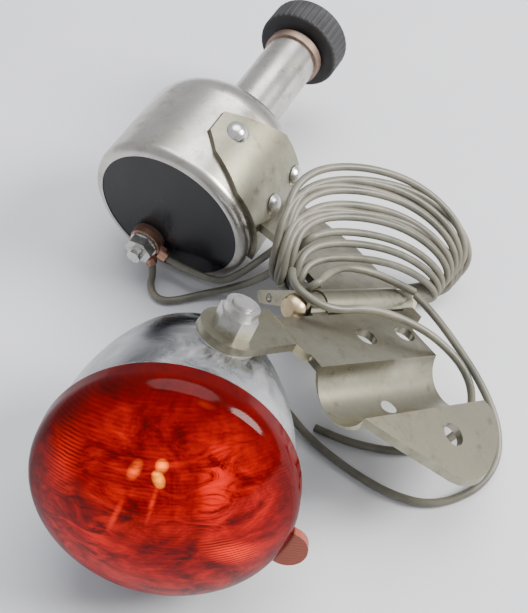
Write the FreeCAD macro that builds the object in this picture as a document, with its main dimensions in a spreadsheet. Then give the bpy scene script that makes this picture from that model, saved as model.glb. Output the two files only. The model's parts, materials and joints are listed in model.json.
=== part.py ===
import FreeCAD, Part
import math
import os
import Sketcher
from FreeCAD import Matrix, Placement, Rotation, Vector

# Bicycle bottle dynamo and red tail lamp on one stamped seat-stay bracket, lying on a table
# with its lead wound round the dynamo's foot. Millimetres, +Z up, origin under the middle of
# the set at table height. Three groups have a frame of their own: the lamp, the bracket and
# the dynamo. Each sub-part is drawn in its group's frame and then placed with the group.

doc = FreeCAD.newDocument("dynamo_tail_lamp")
sheet = doc.addObject("Spreadsheet::Sheet", "dims")

DIMENSIONS = [
    # where the set lies on the table
    ("shift_x", -3.5), ("shift_y", -182.2), ("shift_z", 0.05),
    # lamp: middle of the lens rim, the way the lamp points back, and the turn of its stud
    ("lamp_x", -20.3), ("lamp_y", 108.1), ("lamp_z", 31.0),
    ("lamp_heading", 6.4), ("lamp_pitch", -20.0), ("stud_roll", 22.0),
    # dynamo: middle of the bottom cover and the way its spindle points
    ("dynamo_x", -25.3), ("dynamo_y", 192.7), ("dynamo_z", 22.95),
    ("dynamo_heading", 27.6), ("dynamo_pitch", 2.3),
    # lamp shell, lens and optics
    ("shell_mouth", 27.3), ("shell_waist", 20.6), ("shell_tail", 7.0), ("shell_wall", 0.9),
    ("waist_depth", 34.0), ("shell_depth", 46.5), ("shell_bead", 27.3), ("bead_depth", 4.6),
    ("flank_round", 78.0), ("tail_round", 19.0), ("cable_hole", 3.2),
    ("lens_rim", 27.9), ("lens_wall", 2.0), ("lens_edge", 6.0), ("lens_side", 26.6),
    ("lens_shoulder", 4.0), ("lens_height", 16.0), ("lens_round", 36.0),
    ("ear_reach", 6.0), ("ear_width", 9.0), ("ear_thick", 2.2),
    ("dish_mouth", 23.2), ("dish_throat", 7.0), ("dish_depth", 13.0), ("dish_wall", 0.7),
    ("bulb_ball", 5.3), ("bulb_length", 13.0), ("bulb_cap", 4.6), ("bulb_cap_length", 11.0),
    ("holder_rim", 6.6), ("holder_depth", 13.0),
    # lamp stud and nut
    ("stud_back", 21.0), ("arm_height", 28.0), ("stud", 2.5), ("stud_length", 11.2),
    ("nut_flats", 8.0), ("nut_hex", 4.4), ("nut_collar", 3.75), ("nut_height", 6.3),
    ("boss_foot", 5.6), ("boss_top", 7.2),
    # bracket
    ("arm_turn", 137.9), ("sheet_steel", 2.0), ("arm_half", 7.0), ("arm_start", 14.0),
    ("joggle", 2.5), ("joggle_end", 18.0),
    ("wing_left", 19.0), ("wing_right", 58.0), ("wing_top", 5.2), ("seat_near", -11.3),
    ("seat_far", -27.2), ("seat_round", 8.0), ("lobe_reach", 18.4), ("lobe_right", 61.2),
    ("lobe_slope", 21.0), ("stud_hole", 2.65), ("clamp_hole", 2.75), ("earth_hole", 2.0),
    ("hole_left", 40.4), ("hole_right", 54.0), ("hole_row", -3.0),
    ("lobe_hole_x", 44.0), ("lobe_hole_y", -33.5), ("earth_x", 38.5), ("earth_y", -19.25),
    # hinge between bracket and dynamo
    ("pin_y", 9.6), ("pin_z", -3.6), ("pin", 1.9), ("pin_gap", 0.05), ("knuckle", 3.5),
    ("pin_left", 27.6), ("pin_right", 66.0), ("pin_head", 3.4),
    ("ear_left", 29.4), ("ear_long", 5.0), ("ear_right", 61.3), ("ear_short", 4.4),
    ("foot_left", 34.6), ("foot_right", 61.1), ("foot_knuckle", 4.0), ("foot_wide", 66.0),
    ("roll", 3.9), ("chamber", 2.9),
    ("spring_wire", 0.4), ("spring_mean", 2.42), ("spring_turns", 10.0),
    # dynamo body
    ("can", 22.9), ("can_wall", 1.0), ("can_side", 27.0), ("can_shoulder", 9.5),
    ("rim_round", 2.6), ("rim_lift", 0.3), ("neck", 7.9), ("neck_bore", 6.2),
    ("neck_top", 74.0), ("neck_fillet", 2.0), ("collar", 8.7),
    ("cover", 20.1), ("cover_thick", 2.4), ("cover_flange", 21.75),
    ("roller", 12.5), ("roller_base", 76.2), ("roller_height", 9.0), ("roller_flutes", 40),
    ("shaft", 2.0), ("shaft_low", 4.2), ("shaft_high", 90.0), ("shaft_gap", 0.05),
    ("magnet", 11.0), ("magnet_low", 10.0), ("magnet_high", 27.0),
    ("pole_gap", 0.6), ("pole_thick", 1.2), ("pole_low", 8.5), ("pole_high", 26.2),
    ("bobbin_hub", 13.2), ("bobbin_rim", 20.6), ("bobbin_low", 9.9), ("bobbin_high", 26.0),
    # terminal on the bottom cover
    ("terminal_x", -7.0), ("terminal_y", 11.0), ("terminal_stud", 1.95), ("terminal_out", 8.2),
    ("terminal_nut", 7.0), ("lug_eye", 4.4), ("lug_thick", 0.8), ("lug_wide", 3.6),
    # saddle riveted to the can
    ("saddle_thick", 1.5), ("rivet", 3.0),
    # lead
    ("lead", 1.0), ("lug_barrel", 1.6), ("hank_wall", 3.0), ("hank_margin", 1.4),
]


class Size:
    """A size that knows its number and the formula that binds it to the sheet."""

    def __init__(self, value, text):
        self.value = float(value)
        self.text = text

    def _with(self, other, sign, result, flip=False):
        text = other.text if isinstance(other, Size) else repr(float(other))
        pair = (text, self.text) if flip else (self.text, text)
        return Size(result, "(%s %s %s)" % (pair[0], sign, pair[1]))

    def __add__(self, other):
        return self._with(other, "+", self.value + number(other))

    def __sub__(self, other):
        return self._with(other, "-", self.value - number(other))

    def __mul__(self, other):
        return self._with(other, "*", self.value * number(other))

    def __rmul__(self, other):
        return self._with(other, "*", self.value * number(other))

    def __truediv__(self, other):
        return self._with(other, "/", self.value / number(other))

    def __rsub__(self, other):
        return self._with(other, "-", number(other) - self.value, flip=True)

    def __radd__(self, other):
        return self._with(other, "+", self.value + number(other))

    def __neg__(self):
        return Size(-self.value, "(-1.0 * %s)" % self.text)


def number(size):
    return size.value if isinstance(size, Size) else float(size)


def formula(size):
    return size.text if isinstance(size, Size) else repr(float(size))


class Dims:
    pass


dim = Dims()
for row, (alias, value) in enumerate(DIMENSIONS, start=1):
    sheet.set("A%d" % row, alias)
    sheet.set("B%d" % row, str(value))
    sheet.setAlias("B%d" % row, alias)
    setattr(dim, alias, Size(value, "dims.%s" % alias))
doc.recompute()

NODES = []


# ---------------------------------------------------------------- frames of the three groups

def heading_vector(heading, pitch):
    """A unit vector turned clockwise from +Y by heading and raised by pitch, in degrees."""
    turn, rise = math.radians(number(heading)), math.radians(number(pitch))
    flat = math.cos(rise)
    return Vector(math.sin(turn) * flat, math.cos(turn) * flat, math.sin(rise))


def frame(origin, x_axis, z_axis):
    """A placement with the given x and z directions."""
    x = Vector(x_axis).normalize()
    z = Vector(z_axis).normalize()
    y = z.cross(x)
    return Placement(Matrix(x.x, y.x, z.x, origin.x, x.y, y.y, z.y, origin.y,
                            x.z, y.z, z.z, origin.z, 0, 0, 0, 1))


def lamp_frame():
    """+Z points back along the lamp, +Y along the stud."""
    back = heading_vector(dim.lamp_heading, dim.lamp_pitch)
    side = back.cross(Vector(0, 0, 1)).normalize()
    upright = side.cross(back)
    roll = math.radians(number(dim.stud_roll))
    stud = upright * math.cos(roll) + side * math.sin(roll)
    origin = Vector(number(dim.lamp_x + dim.shift_x), number(dim.lamp_y + dim.shift_y),
                    number(dim.lamp_z + dim.shift_z))
    return frame(origin, stud.cross(back), back)


def bracket_frame(lamp):
    """Origin on top of the arm at the stud, +Z along the stud, +X along the tube seat."""
    turn = math.radians(number(dim.arm_turn))
    origin = lamp.multVec(Vector(0, number(dim.arm_height), number(dim.stud_back)))
    along = lamp.Rotation.multVec(Vector(math.cos(turn), 0, math.sin(turn)))
    return frame(origin, along, lamp.Rotation.multVec(Vector(0, 1, 0)))


def dynamo_frame():
    """Origin in the middle of the bottom cover, +Z along the spindle, +Y downwards."""
    spindle = heading_vector(dim.dynamo_heading, dim.dynamo_pitch)
    origin = Vector(number(dim.dynamo_x + dim.shift_x), number(dim.dynamo_y + dim.shift_y),
                    number(dim.dynamo_z + dim.shift_z))
    return frame(origin, spindle.cross(Vector(0, 0, 1)), spindle)


LAMP = lamp_frame()
BRACKET = bracket_frame(LAMP)
DYNAMO = dynamo_frame()
TABLE = Placement()


# ---------------------------------------------------------------- building blocks

def at(x=0, y=0, z=0, axis=(0, 0, 1), angle=0):
    return Placement(Vector(number(x), number(y), number(z)), Rotation(Vector(*axis), angle))


def bind(obj, **sizes):
    for name, size in sizes.items():
        if isinstance(size, Size):
            obj.setExpression(name, size.text)
        else:
            setattr(obj, name, size)
    return obj


def node(obj, label, group=TABLE):
    """Name a finished sub-part and put it where its group lies."""
    obj.Label = label
    obj.Placement = group.multiply(obj.Placement)
    NODES.append(obj)
    return obj


def cylinder(radius, height, place=None, angle=None):
    obj = doc.addObject("Part::Cylinder", "cylinder")
    bind(obj, Radius=radius, Height=height)
    if angle is not None:
        obj.Angle = angle
    obj.Placement = place or Placement()
    return obj


def cone(low, high, height, place=None):
    obj = bind(doc.addObject("Part::Cone", "cone"), Radius1=low, Radius2=high, Height=height)
    obj.Placement = place or Placement()
    return obj


def box(length, width, height, place=None):
    obj = bind(doc.addObject("Part::Box", "box"), Length=length, Width=width, Height=height)
    obj.Placement = place or Placement()
    return obj


def sphere(radius, place=None):
    obj = bind(doc.addObject("Part::Sphere", "sphere"), Radius=radius)
    obj.Placement = place or Placement()
    return obj


def hexagon(flats, height, place=None):
    obj = doc.addObject("Part::Prism", "hexagon")
    obj.Polygon = 6
    bind(obj, Circumradius=flats / math.sqrt(3), Height=height)
    obj.Placement = place or Placement()
    return obj


def cut(base, *tools):
    for tool in tools:
        step = doc.addObject("Part::Cut", "cut")
        step.Base = base
        step.Tool = tool
        base = step
    return base


def common(base, tool):
    obj = doc.addObject("Part::Common", "common")
    obj.Base = base
    obj.Tool = tool
    return obj


def fuse(*shapes):
    obj = doc.addObject("Part::MultiFuse", "fuse")
    obj.Shapes = list(shapes)
    return obj


def group(*shapes):
    """Separate solids that share one node."""
    obj = doc.addObject("Part::Compound", "group")
    obj.Links = list(shapes)
    return obj


def origin_plane(body, role):
    return next(item for item in body.Origin.OriginFeatures if item.Role == role)


def arc_edge(start, end, radius):
    """The short arc of that radius from start to end; a negative radius bulges to the left."""
    chord = end - start
    half = chord.Length / 2
    size = max(abs(radius), half * 1.0001)
    side = Vector(-chord.y, chord.x, 0).normalize() * (1 if radius > 0 else -1)
    centre = (start + end) / 2 + side * math.sqrt(size ** 2 - half ** 2)
    first = math.atan2(start.y - centre.y, start.x - centre.x)
    last = math.atan2(end.y - centre.y, end.x - centre.x)
    if radius < 0:
        first, last = last, first
    return Part.ArcOfCircle(Part.Circle(centre, Vector(0, 0, 1), size), first, last)


def pin_point(sketch, geometry, end, axis, size):
    """Hold one coordinate of a sketch point at a size that the sheet drives."""
    value = number(size)
    kind = "DistanceX" if axis == "x" else "DistanceY"
    if abs(value) < 1e-9:
        line = -2 if axis == "x" else -1
        sketch.addConstraint(Sketcher.Constraint("PointOnObject", geometry, end, line))
        return
    if value > 0:
        rule = Sketcher.Constraint(kind, -1, 1, geometry, end, value)
    else:
        rule = Sketcher.Constraint(kind, geometry, end, -1, 1, -value)
    index = sketch.addConstraint(rule)
    if isinstance(size, Size):
        sketch.setExpression("Constraints[%d]" % index, (size if value > 0 else -size).text)


def draw(body, role, outline, name="outline"):
    """A closed sketch through the outline's points. A point is (x, y), or (x, y, radius) where
    the stretch that reaches it is an arc: a positive radius turns left, a negative one right."""
    sketch = body.newObject("Sketcher::SketchObject", name)
    sketch.AttachmentSupport = [(origin_plane(body, role), "")]
    sketch.MapMode = "FlatFace"
    corners = [Vector(number(point[0]), number(point[1]), 0) for point in outline]
    count = len(outline)
    ends = []
    for index in range(count):
        start, end = corners[index], corners[(index + 1) % count]
        target = outline[(index + 1) % count]
        radius = number(target[2]) if len(target) > 2 else 0
        if radius:
            edge = sketch.addGeometry(arc_edge(start, end, radius))
            ends.append((edge, 1, 2) if radius > 0 else (edge, 2, 1))
        else:
            edge = sketch.addGeometry(Part.LineSegment(start, end))
            ends.append((edge, 1, 2))
    for index, (edge, _, finish) in enumerate(ends):
        after = ends[(index + 1) % count]
        sketch.addConstraint(Sketcher.Constraint("Coincident", edge, finish, after[0], after[1]))
    for index, (edge, start, _) in enumerate(ends):
        pin_point(sketch, edge, start, "x", outline[index][0])
        pin_point(sketch, edge, start, "y", outline[index][1])
        target = outline[(index + 1) % count]
        if len(target) > 2:
            rule = sketch.addConstraint(Sketcher.Constraint("Radius", edge, abs(number(target[2]))))
            if isinstance(target[2], Size):
                size = target[2] if number(target[2]) > 0 else -target[2]
                sketch.setExpression("Constraints[%d]" % rule, size.text)
    return sketch


def turned(outline, hollow=None):
    """A body turned about Z: outline and hollow hold (radius, height) points."""
    body = doc.addObject("PartDesign::Body", "turned")
    sketch = draw(body, "XZ_Plane", outline)
    solid = body.newObject("PartDesign::Revolution", "turn")
    solid.Profile = sketch
    solid.ReferenceAxis = (sketch, ["V_Axis"])
    solid.Angle = 360
    body.Tip = solid
    if hollow:
        inner = draw(body, "XZ_Plane", hollow, "hollow")
        groove = body.newObject("PartDesign::Groove", "bore")
        groove.Profile = inner
        groove.ReferenceAxis = (inner, ["V_Axis"])
        groove.Angle = 360
        body.Tip = groove
    return body


def padded(role, outline, length, place=None):
    """A body padded from an outline on one of its origin planes, along the plane's normal."""
    body = doc.addObject("PartDesign::Body", "padded")
    pad = body.newObject("PartDesign::Pad", "pad")
    sketch = draw(body, role, outline)
    pad.Profile = sketch
    bind(pad, Length=length)
    body.Tip = pad
    body.Placement = place or Placement()
    return body


def ring_of(shape, count, axis=(0, 0, 1)):
    """Copies of a shape, evenly turned about the group's axis."""
    copies = []
    for index in range(1, count):
        link = doc.addObject("Part::Feature", "copy")
        link.Shape = shape.Shape
        turn = Placement(Vector(), Rotation(Vector(*axis), 360 * index / count))
        link.Placement = turn.multiply(shape.Placement)
        copies.append(link)
    return [shape] + copies


# ---------------------------------------------------------------- lamp

def lamp_shell():
    """Spun bell: a rolled bead at the mouth, a long flank and a rounded tail."""
    wall = dim.shell_wall
    inner_depth = dim.shell_depth - wall
    bell = turned(
        [(0, dim.bead_depth - 1.6), (dim.shell_bead - 1.0, dim.bead_depth - 1.6),
         (dim.shell_bead - 1.0, dim.bead_depth + 0.4, 1.0), (dim.shell_mouth - 0.9, dim.bead_depth + 0.8),
         (dim.shell_waist, dim.waist_depth, dim.flank_round),
         (dim.shell_tail, dim.shell_depth, dim.tail_round), (0, dim.shell_depth)],
        [(0, dim.bead_depth - 1.6), (dim.shell_mouth - 1.7, dim.bead_depth - 1.6),
         (dim.shell_mouth - 1.8, dim.bead_depth + 0.8),
         (dim.shell_waist - wall, dim.waist_depth, dim.flank_round - wall),
         (dim.shell_tail - wall / 2, inner_depth, dim.tail_round - wall), (0, inner_depth)])
    stud_place = at(0, 0, dim.stud_back, (1, 0, 0), -90)
    stud_hole = cylinder(dim.stud + 0.15, dim.arm_height, stud_place)
    cable_hole = cylinder(dim.cable_hole, 6.0, at(0, 0, dim.shell_depth - 4))
    return node(cut(bell, stud_hole, cable_hole), "lamp_shell", LAMP)


def lens():
    """Domed red cap with a skirt and a flat lug on its rim."""
    wall = dim.lens_wall
    top = dim.bead_depth - 1.6
    cap = turned(
        [(0, -dim.lens_height), (dim.lens_side, -dim.lens_shoulder, dim.lens_round),
         (dim.lens_rim, 0, dim.lens_edge), (dim.lens_rim, top), (dim.lens_rim - wall, top),
         (dim.lens_side - wall, -dim.lens_shoulder),
         (0, wall - dim.lens_height, wall - dim.lens_round)])
    reach = dim.lens_rim + dim.ear_reach
    half = dim.ear_width / 2
    start = half - reach
    lug = fuse(box(dim.ear_reach + 1.2 - half, dim.ear_width, dim.ear_thick, at(start, -half, 0.4)),
               cylinder(half, dim.ear_thick, at(start, 0, 0.4)))
    tilt = Placement(Vector(), Rotation(Vector(0, 0, 1), 7))
    lug.Placement = tilt.multiply(lug.Placement)
    return node(fuse(cap, lug), "lens", LAMP)


def reflector():
    """Pressed dish behind the lens, open at its throat for the bulb."""
    wall = dim.dish_wall
    mouth_depth = dim.bead_depth - 0.9
    deep = mouth_depth + dim.dish_depth
    dish = turned(
        [(dim.dish_throat, deep + wall), (dim.dish_throat, deep),
         (dim.dish_mouth, mouth_depth + wall, 34.0), (dim.dish_mouth, mouth_depth),
         (dim.shell_mouth - 1.95, mouth_depth), (dim.shell_mouth - 1.95, mouth_depth + wall),
         (dim.dish_mouth + wall, mouth_depth + wall),
         (dim.dish_throat + wall, deep + wall, -35.0)])
    return node(dish, "reflector", LAMP)


def bulb():
    """Round glass bulb, its metal cap and the contact under it."""
    tip = dim.bead_depth + 1.0
    glass_neck = tip + dim.bulb_length
    ball = sphere(dim.bulb_ball, at(0, 0, tip + dim.bulb_ball))
    stem = cylinder(dim.bulb_ball * 0.62, dim.bulb_length - dim.bulb_ball, at(0, 0, tip + dim.bulb_ball))
    node(fuse(ball, stem), "bulb_glass", LAMP)
    cap = cylinder(dim.bulb_cap, dim.bulb_cap_length, at(0, 0, glass_neck))
    node(cap, "bulb_cap", LAMP)
    contact = cone(2.2, 1.4, 1.4, at(0, 0, glass_neck + dim.bulb_cap_length))
    node(contact, "bulb_contact", LAMP)
    return glass_neck


def bulb_holder(cap_start):
    """Socket that hangs from the reflector throat, with its insulating base."""
    start = cap_start - 1.0
    inner = dim.bulb_cap + 0.02
    socket = turned([(inner, start), (dim.holder_rim, start), (dim.holder_rim, start + dim.holder_depth),
                     (inner, start + dim.holder_depth)])
    node(socket, "bulb_holder", LAMP)
    base_start = start + dim.holder_depth
    base = turned([(0, base_start + 0.4), (dim.holder_rim, base_start + 0.4),
                   (dim.holder_rim, base_start + 3.0), (0, base_start + 3.0)])
    node(base, "holder_base", LAMP)
    return base_start + 3.0


def lamp_terminal(base_end):
    """Post from the holder base through the tail of the shell, with insulator and nut."""
    tail = dim.shell_depth
    post = cylinder(1.5, tail + 7.0 - base_end, at(0, 0, base_end))
    node(post, "lamp_terminal_post", LAMP)
    bush = turned([(1.52, tail - 2.2), (dim.cable_hole - 0.02, tail - 2.2), (dim.cable_hole - 0.02, tail),
                   (5.2, tail), (5.2, tail + 1.2), (1.52, tail + 1.2)])
    node(bush, "lamp_terminal_bush", LAMP)
    start = tail + 1.2 + dim.lug_thick
    thumb = hexagon(dim.terminal_nut - 1.5, 2.4, at(0, 0, start))
    node(cut(thumb, cylinder(1.5, 4.0, at(0, 0, start - 1))), "lamp_terminal_nut", LAMP)


def lamp_stud():
    """Bolt through the shell and the arm, its head inside, with a seat outside."""
    inside = dim.arm_height - dim.stud_length + 0.4
    place = at(0, inside, dim.stud_back, (1, 0, 0), -90)
    shank = cylinder(dim.stud, dim.stud_length + 6.6, place)
    head = cylinder(4.2, 1.6, at(0, inside - 1.6, dim.stud_back, (1, 0, 0), -90))
    node(fuse(shank, head), "lamp_stud", LAMP)
    seat_low = number(dim.arm_height - dim.sheet_steel) - 3.4
    seat = cone(dim.boss_foot, dim.boss_top, dim.arm_height - dim.sheet_steel - seat_low,
                at(0, seat_low, dim.stud_back, (1, 0, 0), -90))
    bell_core = turned(
        [(0, 0), (dim.shell_mouth, 0), (dim.shell_mouth - 0.9, dim.bead_depth + 0.8),
         (dim.shell_waist, dim.waist_depth, dim.flank_round), (0, dim.waist_depth)])
    seat = cut(seat, bell_core, cylinder(dim.stud + 0.02, 40.0, at(0, 0, dim.stud_back, (1, 0, 0), -90)))
    node(seat, "stud_seat", LAMP)


def lamp_nut():
    """Self-locking nut: hexagon below, round collar above."""
    hexagonal = hexagon(dim.nut_flats, dim.nut_hex)
    ball = sphere(dim.nut_flats * 0.56 + 1.6, at(0, 0, 0.9))
    collar = cylinder(dim.nut_collar, dim.nut_height)
    body = fuse(common(hexagonal, ball), collar)
    node(cut(body, cylinder(dim.stud + dim.pin_gap, 10.0, at(0, 0, -1))), "lamp_nut", BRACKET)


# ---------------------------------------------------------------- bracket and hinge

def seat_profile(thickness):
    """Section across the tube seat, in (y, z): flat wing, half-round seat, sloping lobe."""
    top = -dim.joggle
    under = -dim.joggle - thickness
    slope = math.radians(number(dim.lobe_slope))
    run, drop = math.cos(slope), math.sin(slope)
    tip_y = dim.seat_far - dim.lobe_reach * run
    tip_z = top - dim.lobe_reach * drop
    inset = 0.9 * thickness
    return [(dim.wing_top, top), (dim.seat_near, top), (dim.seat_far, top, -dim.seat_round),
            (tip_y, tip_z), (tip_y + thickness * drop, tip_z - thickness * run),
            (dim.seat_far - inset * 0.4, under - 0.25),
            (dim.seat_near + inset * 0.4, under, dim.seat_round + thickness), (dim.wing_top, under)]


def wing_outline():
    """Plan of the seat plate in (x, y): straight wing, lobe with a round end."""
    left, right = dim.wing_left, dim.lobe_right
    ear_end = dim.ear_right + dim.ear_short
    return [(left, dim.wing_top), (left, dim.seat_far), (left + 5.2, dim.seat_far - 4.1),
            (left + 18.4, dim.seat_far - 13.8), (right - 8.5, dim.seat_far - 13.7, 12.6),
            (right, dim.seat_far - 3.6, 17.9), (dim.wing_right, dim.seat_far + 1.5, 6.0),
            (dim.wing_right, -2.0), (ear_end, 2.5), (ear_end, dim.wing_top)]


def lobe_hole_foot(depth):
    """A place below the lobe's hole, on its axis."""
    slope = math.radians(number(dim.lobe_slope))
    along = number(dim.seat_far - dim.lobe_hole_y)
    surface = -number(dim.joggle) - along * math.tan(slope)
    along = number(dim.lobe_hole_y) + depth * math.sin(slope)
    return dim.lobe_hole_x, along, surface - depth * math.cos(slope)


def bracket_plate():
    """One stamping: lamp arm, joggle, upper wing, tube seat, lower lobe and hinge ears."""
    thick = dim.sheet_steel
    length = dim.ear_right + dim.ear_short - dim.wing_left
    strip = padded("YZ_Plane", seat_profile(thick), length, at(dim.wing_left, 0, 0))
    plan = padded("XY_Plane", wing_outline(), 40.0, at(0, 0, -34))
    wings = common(strip, plan)
    step = dim.joggle
    arm_side = padded(
        "XZ_Plane",
        [(-dim.arm_half, 0), (-dim.arm_half, -thick), (dim.arm_start - 0.8, -thick),
         (dim.joggle_end - 0.8, -step - thick), (dim.wing_left + 3.0, -step - thick),
         (dim.wing_left + 3.0, -step), (dim.joggle_end, -step), (dim.arm_start, 0)],
        dim.arm_half * 2 + 1.0, at(0, dim.arm_half, 0))
    arm_plan = fuse(cylinder(dim.arm_half, 40.0, at(0, 0, -30)),
                    padded("XY_Plane",
                           [(0, dim.arm_half), (0, -dim.arm_half), (dim.arm_start, -dim.arm_half + 0.8),
                            (dim.wing_left + 3.0, -dim.arm_half - 1.0),
                            (dim.wing_left + 3.0, dim.wing_top), (dim.arm_start, dim.arm_half - 1.6)],
                           40.0, at(0, 0, -30)))
    arm = common(arm_side, arm_plan)
    ears = [hinge_ear(dim.ear_left, dim.ear_long, dim.wing_top, 1),
            hinge_ear(dim.ear_right, dim.ear_short, dim.wing_top, 1)]
    plate = fuse(wings, arm, *ears)
    drills = [cylinder(dim.stud_hole, 10.0, at(0, 0, -5)),
              cylinder(dim.clamp_hole, 12.0, at(dim.hole_left, dim.hole_row, -12)),
              cylinder(dim.clamp_hole, 12.0, at(dim.hole_right, dim.hole_row, -12)),
              cylinder(dim.earth_hole, 16.0, at(dim.earth_x, dim.earth_y, -18)),
              cylinder(dim.clamp_hole, 8.0, at(*lobe_hole_foot(4.0), (1, 0, 0), number(dim.lobe_slope)))]
    node(cut(plate, *drills), "bracket_plate", BRACKET)


def hinge_ear(start, length, edge, side):
    """Rolled eye on the edge of a plate, bored for the hinge pin."""
    thick = dim.sheet_steel
    eye = cylinder(dim.knuckle, length, at(start, dim.pin_y, dim.pin_z, (0, 1, 0), 90))
    reach = dim.pin_y - edge + 1.0 if side > 0 else edge - dim.pin_y + 1.0
    low = edge - 1.0 if side > 0 else dim.pin_y
    web = box(length, reach, thick, at(start, low, number(-dim.joggle - thick)))
    bore = cylinder(dim.pin + dim.pin_gap, length + 2.0,
                    at(start - 1.0, dim.pin_y, dim.pin_z, (0, 1, 0), 90))
    return cut(fuse(eye, web), bore)


def hinge_pin():
    """Rivet pin with a domed head at each end."""
    length = dim.pin_right - dim.pin_left
    shank = cylinder(dim.pin, length, at(dim.pin_left, dim.pin_y, dim.pin_z, (0, 1, 0), 90))
    heads = []
    for x in (dim.pin_left, dim.pin_right):
        ball = sphere(dim.pin_head, at(x, dim.pin_y, dim.pin_z))
        side = -1 if x is dim.pin_left else 1
        slab = box(2.6, 8.0, 8.0, at(number(x) + (-2.6 if side < 0 else 0),
                                     number(dim.pin_y) - 4, number(dim.pin_z) - 4))
        heads.append(common(ball, slab))
    node(fuse(shank, *heads), "hinge_pin", BRACKET)


def hinge_spring():
    """Torsion spring round the pin, between the foot's eyes."""
    start = dim.foot_left + dim.foot_knuckle + 0.8
    span = dim.foot_right - dim.foot_left - dim.foot_knuckle * 2 - 1.6
    turns = number(dim.spring_turns)
    pitch = (number(span) - 2 * number(dim.spring_wire)) / turns
    helix = doc.addObject("Part::Helix", "spring_line")
    bind(helix, Pitch=pitch, Height=pitch * turns, Radius=dim.spring_mean)
    profile = doc.addObject("Part::Circle", "spring_section")
    bind(profile, Radius=dim.spring_wire)
    profile.Placement = at(dim.spring_mean, 0, 0, (1, 0, 0), 90)
    coil = doc.addObject("Part::Sweep", "spring")
    coil.Sections = [profile]
    coil.Spine = (helix, [])
    coil.Solid = True
    coil.Frenet = True
    coil.Placement = at(start + dim.spring_wire, dim.pin_y, dim.pin_z, (0, 1, 0), 90)
    node(coil, "hinge_spring", BRACKET)


def release_lever():
    """Bent steel strip on the pin's left end that holds the dynamo off the tyre."""
    y, z = dim.pin_y, dim.pin_z
    plate = padded("YZ_Plane",
                   [(y - 3.0, z - 1.8), (y, z - 4.2, 5.0), (y + 3.4, z - 2.6, 5.0), (y + 10.6, z - 7.4),
                    (y + 12.6, z - 5.0, 2.4), (y + 2.6, z + 3.0), (y - 2.4, z + 3.2)],
                   1.2, at(dim.pin_left + 0.3, 0, 0))
    bore = cylinder(dim.pin + dim.pin_gap, 6.0, at(number(dim.pin_left) - 2.0, y, z, (0, 1, 0), 90))
    hole = cylinder(1.1, 6.0, at(number(dim.pin_left) - 2.0, y + 8.6, z - 4.2, (0, 1, 0), 90))
    node(cut(plate, bore, hole), "release_lever", BRACKET)


# ---------------------------------------------------------------- dynamo

def dynamo_housing():
    """Spun can: rolled rim, straight side, round shoulder and bearing neck."""
    wall = dim.can_wall
    shoulder_top = dim.can_side + dim.can_shoulder
    inner_can = dim.can - wall
    can = turned(
        [(dim.cover + 0.05, dim.rim_lift), (dim.can - dim.rim_round, dim.rim_lift),
         (dim.can, dim.rim_lift + dim.rim_round, dim.rim_round), (dim.can, dim.can_side),
         (dim.can - dim.can_shoulder, shoulder_top, dim.can_shoulder),
         (dim.neck_bore, shoulder_top),
         (dim.neck_bore, shoulder_top - wall), (dim.can - dim.can_shoulder, shoulder_top - wall),
         (inner_can, dim.can_side, wall - dim.can_shoulder),
         (inner_can, dim.rim_lift + 1.2), (dim.cover + 0.05, dim.rim_lift + 1.2)])
    node(can, "dynamo_housing", DYNAMO)
    neck = turned(
        [(dim.neck_bore, shoulder_top), (dim.neck + dim.neck_fillet, shoulder_top),
         (dim.neck, shoulder_top + dim.neck_fillet, -dim.neck_fillet),
         (dim.neck, dim.neck_top), (dim.neck_bore, dim.neck_top)])
    node(neck, "neck_tube", DYNAMO)


def bottom_cover():
    """Moulded cover held by the rim, with a bearing hub inside and a hole for the terminal."""
    face = dim.rim_lift + 0.2
    step = dim.rim_lift + 1.25
    cover = turned(
        [(0, face), (dim.cover, face), (dim.cover, step), (dim.cover_flange, step),
         (dim.cover_flange, step + dim.cover_thick), (6.5, step + dim.cover_thick),
         (6.5, dim.shaft_low + 3.6), (4.5, dim.shaft_low + 3.6), (4.5, dim.shaft_low - 0.6),
         (0, dim.shaft_low - 0.6)])
    hole = cylinder(dim.terminal_stud + 0.9, 12.0, at(dim.terminal_x, dim.terminal_y, -2))
    node(cut(cover, hole), "bottom_cover", DYNAMO)


def neck_collar():
    top = dim.neck_top
    collar = turned([(dim.neck + 0.02, top - 2.0), (dim.collar, top - 2.0), (dim.collar, top + 0.4),
                     (dim.collar - 0.6, top + 1.2, 0.9), (dim.shaft + 0.35, top + 1.2),
                     (dim.shaft + 0.35, top + 0.05), (dim.neck + 0.02, top + 0.05)])
    node(collar, "neck_collar", DYNAMO)


def friction_roller():
    """Fluted roller that runs on the tyre."""
    base, height = dim.roller_base, dim.roller_height
    rim = dim.roller
    body = turned(
        [(dim.shaft, base + 1.2), (dim.neck - 1.0, base + 1.2), (dim.neck - 0.4, base),
         (rim - 1.0, base), (rim, base + 1.0, 1.0), (rim, base + height - 1.2),
         (rim - 1.2, base + height, 1.2), (dim.shaft, base + height)])
    cutter = cylinder(0.45, height + 2.0, at(rim + 0.12, 0, number(base) - 1))
    doc.recompute()
    grooves = ring_of(cutter, int(number(dim.roller_flutes)))
    flutes = doc.addObject("Part::Compound", "flutes")
    flutes.Links = grooves
    node(cut(body, flutes), "friction_roller", DYNAMO)


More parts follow.
